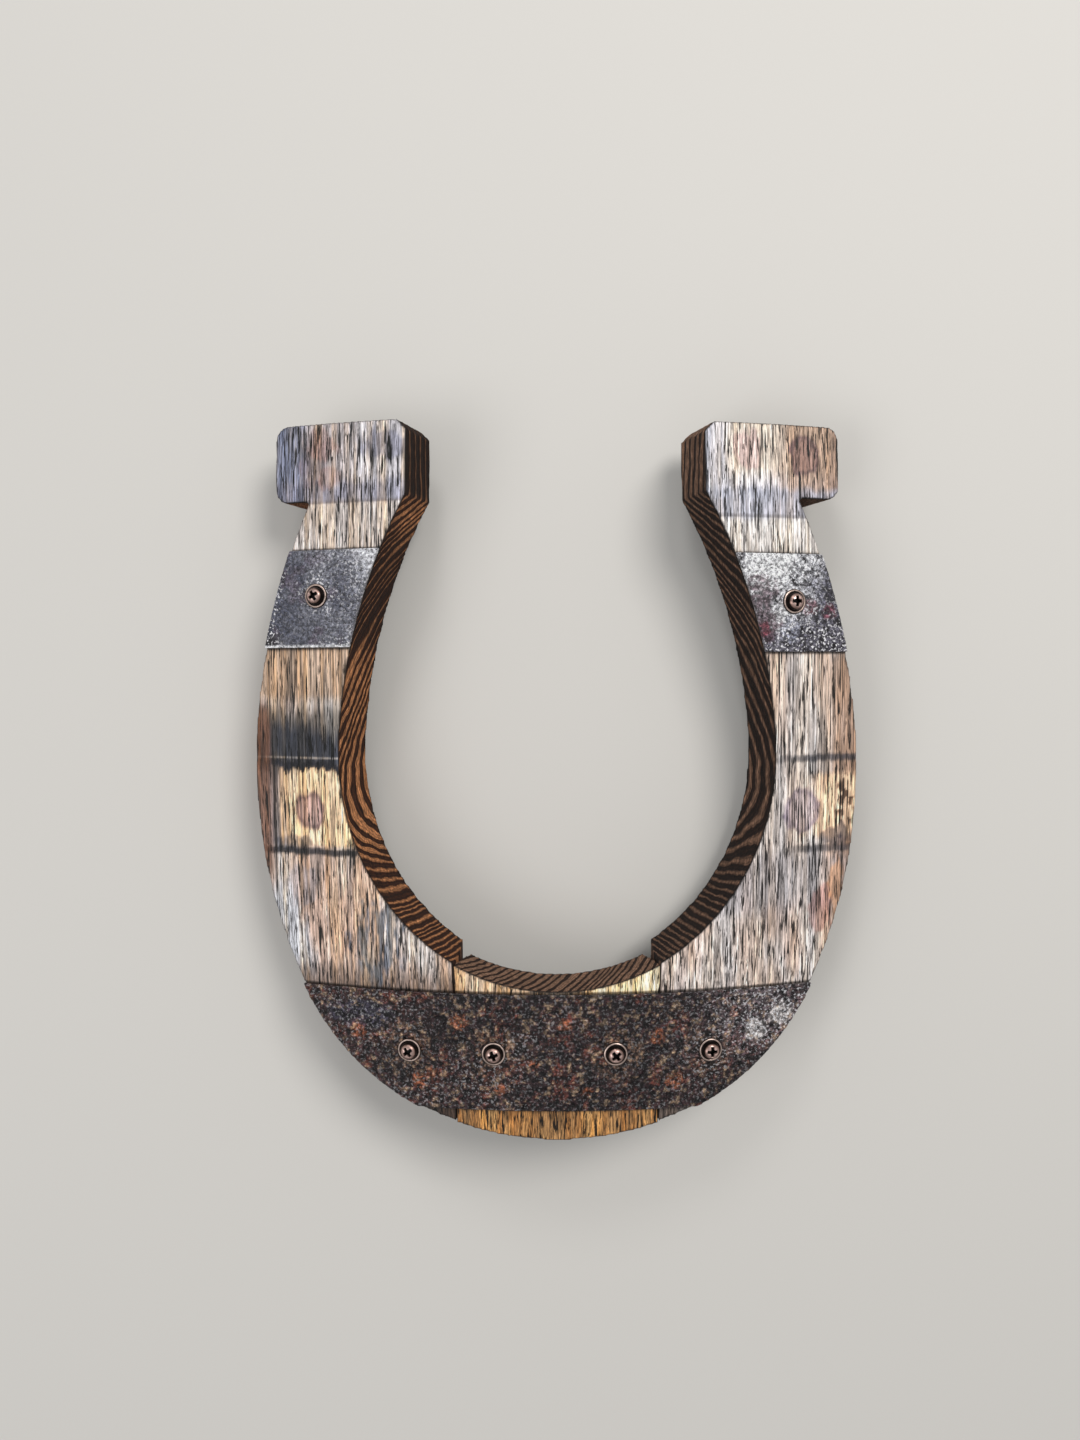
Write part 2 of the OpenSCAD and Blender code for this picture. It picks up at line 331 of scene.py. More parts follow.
def left_low(co, colour):
    """Lower left arm: fine brown streaks, a painted sheen along its edge and a blue blot."""
    x, y = co[:, 0], co[:, 1]
    low = 1 - step(-0.036, -0.030, y)
    brown = low * step(0.45, 0.7, layered(co, (0.006, 0.03, 0.006), 21))
    colour = lay(colour, "#c39a80", 0.4 * brown)
    colour = lay(colour, "#8c8e9a", 0.5 * spot(co, -0.1100, -0.0450, 0.0085, 0.0090, 23, 1.2))
    # Painted sheen: pale blue-white colour in a band along the arm's outer edge
    rim = x + 0.1232 + 0.31 * np.clip(y + 0.039, -0.05, 0)
    painted_sheen = low * (1 - step(0.004, 0.010, rim + 0.003 * wavy(co, 22)))
    painted_sheen = painted_sheen * between(y, -0.083, -0.048, 0.008)
    colour = lay(colour, "#d6dae4", 0.8 * painted_sheen)
    toe = 1 - step(-0.088, -0.072, y)
    colour = lay(colour, "#64534a", 0.8 * toe)
    blot = spot(co, -0.0765, -0.0680, 0.0125, 0.0190, 24, 1.1)
    blot = blot * step(0.40, 0.56, layered(co, (0.0011, 0.012, 0.0011), 25, 2))
    return lay(colour, "#4f6279", 0.8 * blot)


def right_face(co):
    """Colours of the right stave's weathered front."""
    x, y = co[:, 0], co[:, 1]
    soft = layered(co, (0.010, 0.045, 0.010), 41)
    colour = lay(plain("#d2cac8", len(co)), "#cfbbaf", step(0.4, 0.7, soft))
    colour = right_heel(co, colour)
    outer = step(0.110, 0.127, x + 0.004 * wavy(co, 50)) * (1 - step(0.05, 0.06, y))
    colour = lay(colour, "#ae8566", 0.8 * outer)
    colour = right_gold(co, colour)
    blue = between(y + 0.003 * wavy(co, 71), -0.056, -0.031, 0.004)
    colour = lay(colour, "#9b98a0", 0.5 * blue)
    colour = lay(colour, "#9a5f55", 0.55 * spot(co, 0.1150, -0.0560, 0.0060, 0.0110, 73, 1.3))
    colour = lay(colour, "#c08a5a", 0.55 * spot(co, 0.1215, -0.0450, 0.0035, 0.0130, 74, 1.2))
    low = 1 - step(-0.060, -0.045, y)
    brown = low * step(0.45, 0.65, layered(co, (0.010, 0.03, 0.010), 75))
    colour = lay(colour, "#b48f7a", 0.4 * brown)
    return dark_tips(co, painted_strip_shadows(co, colour, "right_band", "toe_band"))


def right_heel(co, colour):
    """Brown outer side, rivet stain and bluish inner side and lower half of the right heel."""
    x, y = co[:, 0], co[:, 1]
    heel = in_heel(y)
    colour = lay(colour, "#ddd8dd", heel)
    warm = step(0.124, 0.133, y) * step(0.0690, 0.0745, x + 0.003 * wavy(co, 42))
    colour = lay(colour, "#dccab4", 0.75 * warm)
    brown = heel * step(0.088, 0.102, x + 0.004 * wavy(co, 43))
    colour = lay(colour, "#b08f78", 0.8 * brown)
    dark = heel * step(0.113, 0.123, x + 0.003 * wavy(co, 44))
    colour = lay(colour, "#553b30", 0.75 * dark)
    colour = rivet_stain(colour, co, 0.1056, 0.1373, 47, "#9a6f6c", "#3a2a3c", 0.55, 1.15)
    colour = lay(colour, "#c09a9c", 0.55 * spot(co, 0.0805, 0.1385, 0.0065, 0.0085, 48, 1.2))
    colour = lay(colour, "#e2dad5", between(y, 0.0955, 0.112, 0.0015))
    damp = between(y + 0.002 * wavy(co, 49), 0.1105, 0.1235, 0.002)
    colour = lay(colour, "#a6abbd", 0.72 * damp)
    inner = heel * (1 - step(0.0660, 0.0720, x + 0.003 * wavy(co, 51)))
    colour = lay(colour, "#b8bed0", 0.5 * inner)
    return lay(colour, "#5a5558", 0.6 * between(y, 0.1112, 0.1122, 0.0003))


def right_gold(co, colour):
    """Golden patch of the right arm between two dark lines, burnt at the outer edge."""
    x, y = co[:, 0], co[:, 1]
    dark = between(y + 0.001 * wavy(co, 53), 0.0082, 0.0112, 0.0008)
    colour = lay(colour, "#3c3f4a", 0.85 * dark * step(0.082, 0.108, x))
    soft = step(0.101, 0.118, x + 0.005 * wavy(co, 54, (0.003, 0.010, 0.003)))
    gold = between(y + 0.001 * wavy(co, 55), -0.0245, 0.0030, 0.0020) * soft
    colour = lay(colour, "#f8d3b4", gold)
    burnt = spot(co, 0.1250, -0.0100, 0.0050, 0.0130, 59, 1.2)
    burnt = burnt * step(0.46, 0.56, layered(co, (0.0022, 0.0030, 0.0022), 57, 2))
    colour = lay(colour, "#3f2618", 0.9 * burnt)
    colour = lay(colour, "#3b3c48", 0.7 * spot(co, 0.1215, -0.0240, 0.0075, 0.0050, 60, 1.5))
    colour = rivet_stain(colour, co, 0.1050, -0.0125, 61, "#a899a6", "#746879", 0.6, 1.3)
    line = between(y + 0.001 * wavy(co, 62), -0.0308, -0.0276, 0.0008)
    return lay(colour, "#2f2f38", 0.8 * line * step(0.094, 0.108, x))


def centre_face(co):
    """Colours of the middle stave's golden front."""
    soft = layered(co, (0.006, 0.05, 0.006), 81)
    colour = lay(plain("#9c744a", len(co)), "#d0a066", step(0.4, 0.7, soft))
    # The narrow part that shows above the toe strip is paler
    mouth = step(-0.092, -0.088, co[:, 1])
    colour = lay(colour, "#fff0d0", mouth * step(0.004, 0.022, co[:, 0]))
    colour = lay(colour, "#dfc2a6", mouth * (1 - step(0.0, 0.02, co[:, 0])))
    return painted_strip_shadows(co, colour, "toe_band")


def ring_phase(co, lean, width, seed):
    """Number of growth rings crossed up to each point; early wood lies about the halves."""
    across = co[:, 0] * np.cos(lean) + (co[:, 2] - 0.6 * RIDGE_Z) * np.sin(lean)
    across = across + 1.6 * width * (layered(co, (0.030, 0.055, 0.030), seed + 1, 2) - 0.5)
    across = across + 0.40 * width * (layered(co, (0.0045, 0.0090, 0.0045), seed + 4, 2) - 0.5)
    on_a_line = np.stack([across, across * 0, across * 0], 1)
    return across / width + 1.1 * noise(on_a_line, (2.3 * width, 1, 1), seed + 2)


def side_lean(y):
    """Lean of the growth rings in a side stave, less towards the toe."""
    return TILT + 0.02 + 0.34 * step(-0.075, 0.050, y)


def ends(y):
    """How far each point lies in the heel and in the lower end of a side stave, from 0 to 1."""
    return step(0.118, 0.124, y), 1 - step(-0.040, -0.020, y)


def left_cuts(co):
    """Lean of the rings, share of early wood and painted shade from 0 to 1 on the left stave's cuts."""
    y = co[:, 1]
    heel, low = ends(y)
    neck = between(y, 0.058, 0.106, 0.010)
    share = 0.46 + 0.27 * neck + 0.3 * heel + 0.20 * low
    return side_lean(y), share, 0.70 * heel + 0.42 * neck + 0.20 * low


def right_cuts(co):
    """The same three values for the right stave, which leans the other way."""
    y = co[:, 1]
    heel, low = ends(y)
    share = 0.64 + 0.06 * step(-0.02, 0.02, y) - 0.15 * heel
    return -side_lean(y), share, 0.22 * step(-0.01, 0.03, y) * (1 - heel) + 0.28 * low


def centre_cuts(co):
    """The same three values for the middle stave, alike everywhere."""
    # The third value, painted shade, is alike over the middle stave's cuts
    lean, share, painted_shade = 0.33, 0.40, 0.10
    return lean, share, np.full(len(co), painted_shade)


def stave(node, face, cut_values, width, late, seed):
    """A stave as a dense mesh with its grain carved in and its colours laid on.

    face paints its front, cut_values describes its cuts, width is that of a growth ring and
    late is the colour of the late wood in the cuts.
    """
    piece = remeshed(node, node + "_wood", STAVE_VOXELS)
    mesh = piece.data
    shade_smooth(mesh)
    co, no = points_of(mesh), normals_of(mesh)
    facing = (no * outward(co)).sum(1)
    front = step(0.45, 0.8, facing)
    back = step(0.45, 0.8, -facing)
    cuts = np.clip(1 - front - back, 0, 1)
    lean, share, painted_shade = cut_values(co)
    phase = ring_phase(co, lean, width, seed)
    share = share + 0.4 * (layered(co, (0.010, 0.022, 0.010), seed + 6) - 0.5)
    early = 1 - step(share - 0.2, share + 0.2, 2 * np.abs(phase - np.floor(phase) - 0.5))
    pores = step(0.60, 0.78, layered(co, (0.0011, 0.011, 0.0011), seed + 5, 2))
    crackle = step(0.50, 0.72, layered(co, 0.005, seed + 9))
    relief = -GRAIN_DEPTH * (pores * front + early * cuts) - CRACKLE_DEPTH * crackle * back
    put_points(mesh, co + no * relief[:, None])
    # Painted shade: the cuts' late-wood colour darkened towards near black by the third value
    sawn = lay(plain(late, len(co)), "#150b08", painted_shade)
    rim = 1 - between(depth(co), 0.0012, STAVE_T - 0.0013, 0.0006)
    sawn = lay(sawn, "#0c0605", 0.9 * rim)
    colour = lay(face(co), sawn, cuts)
    char = lay(plain("#15100f", len(co)), "#3a302c", 0.6 * crackle)
    colour = lay(colour, char, back)
    # The arrises are burnt darker than the faces beside them
    arris = np.clip(1.7 - 1.7 * np.abs(facing - 0.68) / 0.34, 0, 1)
    colour = lay(colour, "#120a08", 0.9 * arris)
    kept = {"tint": colour, "front": front, "cuts": cuts, "phase": phase, "share": share}
    for name, values in kept.items():
        store(mesh, name, values)
    return piece


# ---------------------------------------------------------------- materials


def new_material(name):
    """A material with a Principled shader, and what is needed to add nodes to it."""
    material = bpy.data.materials.new(name)
    material.use_nodes = True
    nodes, links = material.node_tree.nodes, material.node_tree.links
    nodes.clear()
    shader = nodes.new("ShaderNodeBsdfPrincipled")
    output = nodes.new("ShaderNodeOutputMaterial")
    links.new(shader.outputs[0], output.inputs["Surface"])
    return material, nodes, links, shader


def ready(nodes, links):
    """Short helpers that add nodes to one material and return their output sockets."""
    where = nodes.new("ShaderNodeTexCoord").outputs["Object"]

    def cloud(scale, detail, rough, distort=0.0, shift=(0, 0, 0)):
        """Noise in object space, finer along an axis the larger its scale."""
        place = nodes.new("ShaderNodeMapping")
        place.inputs["Scale"].default_value = scale
        place.inputs["Location"].default_value = shift
        links.new(where, place.inputs["Vector"])
        node = nodes.new("ShaderNodeTexNoise")
        node.inputs["Scale"].default_value = 1.0
        node.inputs["Detail"].default_value = detail
        node.inputs["Roughness"].default_value = rough
        node.inputs["Distortion"].default_value = distort
        links.new(place.outputs[0], node.inputs["Vector"])
        return node.outputs["Fac"]

    def ramp(value, *stops):
        """Turns a value into colours or greys, given as pairs of place and colour."""
        node = nodes.new("ShaderNodeValToRGB")
        while len(node.color_ramp.elements) < len(stops):
            node.color_ramp.elements.new(0.5)
        for element, (position, colour) in zip(node.color_ramp.elements, stops):
            element.position = position
            if isinstance(colour, (int, float)):
                colour = (colour, colour, colour)
            element.color = (*colour, 1)
        links.new(value, node.inputs["Fac"])
        return node.outputs["Color"]

    def mix(kind, amount, a, b):
        """Blends colour b over colour a."""
        node = nodes.new("ShaderNodeMix")
        node.data_type = "RGBA"
        node.blend_type = kind
        node.clamp_result = kind != "MULTIPLY"
        for socket, value in ((node.inputs[0], amount), (node.inputs[6], a), (node.inputs[7], b)):
            if isinstance(value, (int, float)):
                socket.default_value = value
            elif isinstance(value, (tuple, list, np.ndarray)):
                socket.default_value = (*value, 1)
            else:
                links.new(value, socket)
        return node.outputs[2]

    def maths(operation, a, b=0.0):
        """One operation on one or two values."""
        node = nodes.new("ShaderNodeMath")
        node.operation = operation
        for socket, value in ((node.inputs[0], a), (node.inputs[1], b)):
            if isinstance(value, (int, float)):
                socket.default_value = value
            else:
                links.new(value, socket)
        return node.outputs[0]

    def kept(name, output="Fac"):
        """What store has kept for each vertex under a name."""
        node = nodes.new("ShaderNodeAttribute")
        node.attribute_name = name
        return node.outputs[output]

    def bump(height, distance, strength, after=None):
        """A normal roughened by a height of up to distance metres, on top of another one."""
        node = nodes.new("ShaderNodeBump")
        node.inputs["Distance"].default_value = distance
        node.inputs["Strength"].default_value = strength
        links.new(height, node.inputs["Height"])
        if after is not None:
            links.new(after, node.inputs["Normal"])
        return node.outputs[0]

    return cloud, ramp, mix, maths, kept, bump


def wood_material(name, shift, warm):
    """Old oak under a clear varnish: streaks and pores along Y on the face, rings on the cuts.

    shift moves the pattern, and warm is how much amber shows on the face.
    """
    material, nodes, links, shader = new_material(name)
    cloud, ramp, mix, maths, kept, bump = ready(nodes, links)
    tint, front = kept("tint", "Color"), kept("front")
    streaks = cloud((1450, 34, 1450), 5, 0.72, 0.0, shift)
    lines = ramp(streaks, (0.36, 0.18), (0.44, 0.66), (0.51, 1.05), (0.57, 1.6), (0.64, 2.2))
    wide = ramp(cloud((330, 7, 330), 3, 0.55, 0.0, shift), (0.34, 0.80), (0.5, 1.0), (0.66, 1.22))
    cracks = ramp(cloud((1100, 38, 1100), 3, 0.5, 0.0, (shift[0], 5, 8)), (0.375, 0.03), (0.408, 1.0))
    pores = ramp(cloud((1350, 90, 1350), 3, 0.6, 0.0, shift), (0.37, 0.05), (0.418, 1.0))
    dark = mix("MULTIPLY", 1.0, cracks, pores)
    grain = mix("MULTIPLY", 1.0, mix("MULTIPLY", 1.0, lines, wide), dark)
    amber = ramp(cloud((260, 8, 260), 4, 0.6, 0.0, (shift[0], 9, 4)), (0.44, 0.0), (0.62, 1.0))
    tinted = mix("MULTIPLY", maths("MULTIPLY", amber, warm), tint, (1.14, 0.91, 0.62))
    face = mix("MULTIPLY", 1.0, tinted, grain)
    # Growth rings on the cuts: dark early wood, and fine hair lines in the late wood
    wobble = maths("MULTIPLY", cloud((500, 160, 500), 3, 0.6, 0.0, shift), 0.22)
    phase = maths("ADD", kept("phase"), wobble)
    away = maths("MULTIPLY", maths("ABSOLUTE", maths("SUBTRACT", maths("FRACT", phase), 0.5)), 2.0)
    early = ramp(maths("ADD", maths("SUBTRACT", away, kept("share")), 0.5), (0.40, 1.0), (0.56, 0.0))
    early = maths("MULTIPLY", early, kept("cuts"))
    hair = maths("ABSOLUTE", maths("SUBTRACT", maths("FRACT", maths("MULTIPLY", phase, 4.0)), 0.5))
    fibre = ramp(cloud((1100, 240, 1100), 4, 0.7, 0.2, shift), (0.34, 0.35), (0.5, 0.9), (0.66, 2.0))
    cut = mix("MULTIPLY", 1.0, tint, mix("MULTIPLY", 1.0, fibre, ramp(hair, (0.0, 0.45), (0.30, 1.15))))
    cut = mix("MULTIPLY", early, cut, (0.085, 0.06, 0.055))
    links.new(mix("MIX", front, cut, face), shader.inputs["Base Color"])
    gloss = ramp(cloud((240, 60, 240), 4, 0.6, 0.0, shift), (0.3, 0.34), (0.7, 0.58))
    links.new(mix("MIX", front, (0.8, 0.8, 0.8), gloss), shader.inputs["Roughness"])
    shader.inputs["Specular IOR Level"].default_value = 0.22
    links.new(maths("MULTIPLY", front, 0.25), shader.inputs["Coat Weight"])
    shader.inputs["Coat Roughness"].default_value = 0.28
    coarse = bump(streaks, 0.00045, 0.9)
    carved = bump(dark, 0.00030, 0.9, coarse)
    links.new(carved, shader.inputs["Normal"])
    links.new(carved, shader.inputs["Coat Normal"])
    return material


def steel_material(name, shift, grit, gloss, contrast, shine):
    """Old hoop steel: its paint comes from the mesh, and fine grit and pale specks, partly painted
    glints, lie over it.

    grit is the scale of the grit, gloss the lowest roughness, contrast how strongly the grit
    shows, and shine the weight of the clear coat.
    """
    material, nodes, links, shader = new_material(name)
    cloud, ramp, mix, maths, kept, bump = ready(nodes, links)
    tint, specks = kept("tint", "Color"), kept("specks")
    grain = cloud((grit, grit, grit), 5, 0.75, 0.2, shift)
    tone = ramp(grain, (0.34, 0.22 / contrast), (0.45, 0.68 / contrast), (0.53, 1.1),
                (0.60, 1.6 * contrast), (0.68, 2.4 * contrast))
    base = mix("MULTIPLY", 1.0, tint, tone)
    # Pale specks and painted glints: near white where this pattern and the kept share meet
    flecks_and_glints = ramp(cloud((850, 850, 850), 3, 0.6, 0.0, shift), (0.56, 0.0), (0.60, 1.0))
    base = mix("MIX", maths("MULTIPLY", flecks_and_glints, specks), base, linear("#f2f0f4"))
    pit = ramp(cloud((950, 950, 950), 4, 0.7, 0.0, (shift[0], 3, 5)), (0.36, 1.0), (0.44, 0.0))
    base = mix("MIX", maths("MULTIPLY", pit, 0.85), base, linear("#0d090b"))
    links.new(base, shader.inputs["Base Color"])
    shader.inputs["Metallic"].default_value = 0.15
    shader.inputs["Specular IOR Level"].default_value = shine
    links.new(ramp(cloud((300, 300, 300), 4, 0.6, 0.0, shift), (0.35, gloss), (0.65, gloss + 0.25)),
              shader.inputs["Roughness"])
    shader.inputs["Coat Weight"].default_value = shine
    shader.inputs["Coat Roughness"].default_value = 0.15
    rough = bump(grain, 0.0006 * contrast, 1.0)
    links.new(rough, shader.inputs["Normal"])
    links.new(rough, shader.inputs["Coat Normal"])
    return material


def screw_material():
    """Antique bronze with painted shade in the recess, dark under the head, and a painted highlight on
    the dome.
    """
    material, nodes, links, shader = new_material("screw_bronze")
    cloud, ramp, mix, _, kept, bump = ready(nodes, links)
    worn = ramp(cloud((700, 700, 700), 4, 0.6, 0.3), (0.36, 0.75), (0.64, 1.25))
    links.new(mix("MULTIPLY", 1.0, kept("tint", "Color"), worn), shader.inputs["Base Color"])
    shader.inputs["Metallic"].default_value = 0.75
    links.new(ramp(cloud((900, 900, 900), 4, 0.6), (0.35, 0.26), (0.65, 0.42)),
              shader.inputs["Roughness"])
    links.new(bump(cloud((1600, 1600, 1600), 4, 0.7), 0.00004, 0.5), shader.inputs["Normal"])
    return material


# ---------------------------------------------------------------- hoop steel


def pitted(co, seed, size, share):
    """Pits of a rusted surface: 0 on the skin, 1 at the bottom of a pit."""
    return step(1 - share, 1 - 0.45 * share, layered(co, size, seed))


def strip(node, material, voxels, seed, rust, paint):
    """A hoop-steel strip with its rust carved in and its colours laid on."""
    piece = remeshed(node, node + "_steel", voxels)
    mesh = piece.data
    shade_smooth(mesh)
    co, no = points_of(mesh), normals_of(mesh)
    facing = (no * outward(co)).sum(1)
    swell = layered(co, 0.009, seed, 2) - 0.5
    grit = layered(co, 0.0017, seed + 2) - 0.5
    pits = np.maximum(pitted(co, seed + 5, 0.0034, 0.40), 0.6 * pitted(co, seed + 7, 0.0018, 0.40))
    height = rust * (SWELL_DEPTH * swell + GRIT_DEPTH * grit - PIT_DEPTH * pits)
    put_points(mesh, co + no * (height * step(0.5, 0.9, facing))[:, None])
    colour, specks = paint(co, grit, pits)
    edge = np.clip(1 - np.abs(facing - 0.45) / 0.3, 0, 1)
    store(mesh, "tint", lay(colour, "#b4aeb0", 0.25 * edge))
    store(mesh, "specks", specks)
    mesh.materials.append(material)
    return piece


def patch(co, x, y, r, seed):
    """1 inside a ragged patch, 0 outside."""
    ragged = 1.1 * (layered(co, 0.0022, seed) - 0.5)
    return 1 - step(0.65, 1.15, np.hypot(co[:, 0] - x, co[:, 1] - y) / r + ragged)


def middle_of(node):
    """X and Y of the middle of a node."""
    low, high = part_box(node)
    return (low.x + high.x) / 2, (low.y + high.y) / 2


def place_in(co, node):
    """Place within a node's box, from 0 to 1 along X and along Y."""
    low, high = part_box(node)
    return (co[:, 0] - low.x) / (high.x - low.x), (co[:, 1] - low.y) / (high.y - low.y)


# Rust spots of the toe strip: place across and along the object, and radius
RUST_SPOTS = ((-0.0855, -0.1065, 0.0035), (-0.0415, -0.1000, 0.0040), (-0.0530, -0.1235, 0.0030),
              (-0.0590, -0.1270, 0.0042), (-0.0240, -0.1290, 0.0030), (0.0040, -0.1010, 0.0036),
              (-0.0100, -0.1180, 0.0028), (0.0420, -0.1070, 0.0034), (0.0500, -0.1260, 0.0040),
              (0.0120, -0.1300, 0.0026), (0.0760, -0.0980, 0.0030))
# Red spots of the right strip, all of one size
RED_SPOTS = ((0.1075, 0.0735), (0.1165, 0.0720), (0.0865, 0.0640))
RED_SPOT_R = 0.0034


def toe_paint(co, grit, pits):
    """Dark purple-brown rust with lighter crusts round the screws and reddish spots.

    Like each paint of a strip, it gives the colours and the share of pale specks and painted glints.
    """
    broad = layered(co, 0.020, 201)
    colour = lay(plain("#27171a", len(co)), "#3c2829", step(0.38, 0.66, broad))
    rusty = step(0.54, 0.70, layered(co, 0.006, 203))
    colour = lay(colour, "#663429", 0.6 * rusty)
    colour = lay(colour, "#33394a", 0.6 * spot(co, -0.0850, -0.0985, 0.016, 0.007, 205, 0.8))
    for i in (1, 2, 3, 4):
        x, y = middle_of("toe_band_screw_%d" % i)
        crust = step(0.42, 0.60, layered(co, 0.0016, 215 + i))
        colour = lay(colour, "#8f705a", 0.55 * crust * patch(co, x, y, 0.0115, 210 + i))
    for i, (x, y, r) in enumerate(RUST_SPOTS):
        colour = lay(colour, "#955536", 0.65 * patch(co, x, y, r, 220 + i))
    white = np.maximum(patch(co, 0.0851, -0.1067, 0.0050, 231), patch(co, 0.0961, -0.1001, 0.0054, 232))
    grey = step(0.045, 0.085, co[:, 0] + 0.02 * (broad - 0.5)) * step(-0.125, -0.108, co[:, 1])
    colour = lay(colour, "#7a7076", 0.40 * grey)
    colour = lay(colour, "#d8d2d0", 0.65 * white)
    # Raised grains paler: rust crust with painted tan glints
    colour = lay(colour, "#9c846a", 0.62 * step(0.10, 0.22, grit))
    hollow = np.maximum(pits, step(0.01, -0.13, grit))
    colour = lay(colour, "#060304", 0.92 * hollow * (1 - 0.5 * white))
    # Share of painted glints on the toe strip, shown as near-white specks
    specks = 0.12 + 0.12 * step(0.45, 0.65, broad) + 0.40 * grey + 0.3 * white
    return colour, specks


def left_strip_paint(co, grit, pits):
    """Slate-grey zinc, whiter towards the upper inner corner."""
    x, y = place_in(co, "left_band")
    broad = layered(co, 0.010, 111)
    colour = lay(plain("#494b59", len(co)), "#62636d", step(0.35, 0.65, broad))
    colour = lay(colour, "#5b4d5c", 0.5 * step(0.55, 0.7, layered(co, 0.005, 113)))
    corner = step(0.45, 0.95, x + 0.25 * (y - 0.5) + 0.5 * (broad - 0.5))
    colour = lay(colour, "#85868f", 0.7 * corner)
    colour = lay(colour, "#e8e8ee", 0.8 * step(0.80, 1.05, x + 0.5 * (y - 0.75)))
    halo = patch(co, *middle_of("left_band_screw"), 0.0095, 115)
    burnt = (1 - step(0.04, 0.22, x)) * (1 - step(0.05, 0.24, y))
    colour = lay(colour, "#151114", 0.95 * burnt)
    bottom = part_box("left_band")[0].y
    lip = 1 - step(bottom + 0.0006, bottom + 0.0014, co[:, 1])
    colour = lay(colour, "#e6e6ea", 0.85 * lip)
    colour = lay(colour, "#232027", 0.6 * pits + 0.3 * corner * step(0.0, -0.2, grit))
    edge = 1 - step(0.02, 0.12, x - 0.16 * y)
    foot = (1 - step(0.02, 0.16, y)) * step(0.35, 0.7, x)
    # Share of pale specks and painted glints
    specks = 0.10 + 0.45 * corner + 0.5 * halo + 0.8 * edge + 0.7 * burnt + 0.6 * foot
    return colour, np.clip(specks, 0, 1)


def right_strip_paint(co, grit, pits):
    """White zinc bloom breaking up into slate and purple-brown rust."""
    x, y = place_in(co, "right_band")
    broad = layered(co, 0.012, 131)
    bloom = step(0.75, 0.30, x - 0.55 * (y - 0.5) + 0.8 * (broad - 0.5))
    core = np.maximum(patch(co, 0.0880, 0.0880, 0.0105, 137), patch(co, 0.0955, 0.0925, 0.0060, 138))
    core = np.maximum(core, 0.9 * patch(co, 0.0955, 0.0690, 0.0065, 139))
    colour = lay(plain("#5d5c69", len(co)), "#d9d9df", bloom)
    colour = lay(colour, "#fbfbfe", core)
    colour = lay(colour, "#a9adc0", 0.7 * patch(co, 0.0985, 0.0640, 0.0060, 133))
    lower = 1 - step(0.05, 0.45, y + 0.5 * (broad - 0.5))
    colour = lay(colour, "#56525b", 0.55 * lower)
    dark = np.clip(0.8 * pits + 0.85 * step(0.02, -0.13, grit), 0, 1) * (1 - 0.6 * core)
    colour = lay(colour, "#19141b", dark)
    stain = np.maximum(patch(co, 0.0850, 0.0790, 0.0090, 135), patch(co, 0.0880, 0.0665, 0.0070, 136))
    colour = lay(colour, "#4a303a", 0.85 * stain * step(-0.20, 0.0, grit))
    for i, (spot_x, spot_y) in enumerate(RED_SPOTS):
        red = patch(co, spot_x, spot_y, RED_SPOT_R, 140 + i) * step(-0.20, 0.05, grit)
        colour = lay(colour, "#7a2434", 0.6 * red)
    # Share of pale specks and painted glints
    specks = 0.35 + 0.4 * bloom + 0.5 * core + 0.6 * lower - 0.9 * stain
    return colour, np.clip(specks, 0, 1)


# ---------------------------------------------------------------- screws

FLANGE_R, HEAD_R, SHANK_R = 0.0052, 0.0037, 0.00205
FLANGE_H, DOME_H = 0.0009, 0.0026
SCREW_L = 0.021                 # from the flange to the point
THREAD_PITCH, THREAD_STEPS = 0.0018, 120
CORE = 0.72                     # the core under the thread, as a share of SHANK_R
RECESS_D = 0.0022
# The cross recess, each measure at its bottom and at its rim
CROSS_HALF_W = (0.00056, 0.00078)       # half the width of a slot
CROSS_REACH = (0.0019, 0.0023)          # from the middle to the end of a slot
CROSS_MIDDLE_R = (0.0010, 0.0013)       # radius of the wider middle
TURNS = 96                      # points round a screw
ANGLES = np.arange(TURNS) * 2 * math.pi / TURNS


def recess(x, y):
    """How deep the cross recess is at a point of the head: 0 outside it, 1 at its bottom."""
    deepest = 1 - step(*CROSS_MIDDLE_R, np.hypot(x, y))
    for a, b in ((x, y), (y, x)):
        slot = 1 - step(*CROSS_HALF_W, np.abs(b))
        reach = 1 - step(*CROSS_REACH, np.abs(a))
        deepest = np.maximum(deepest, slot * reach)
    return deepest


def head_height(r):
    """Height of the head's upper surface above the flange's underside."""
    dome = FLANGE_H + DOME_H * np.sqrt(np.clip(1 - (r / HEAD_R) ** 2.6, 0, 1))
    groove = 0.00035 * (1 - step(0.0, 0.0006, np.abs(r - HEAD_R - 0.0003)))
    rim = FLANGE_H * (1 - 0.35 * step(HEAD_R + 0.0006, FLANGE_R, r)) - groove
    return np.where(r < HEAD_R, np.maximum(dome, rim), rim)


def circle(r, z):
    """One ring of points of a screw; r or z may differ round it."""
    return np.stack([r * np.cos(ANGLES), r * np.sin(ANGLES), z + 0 * ANGLES], 1)


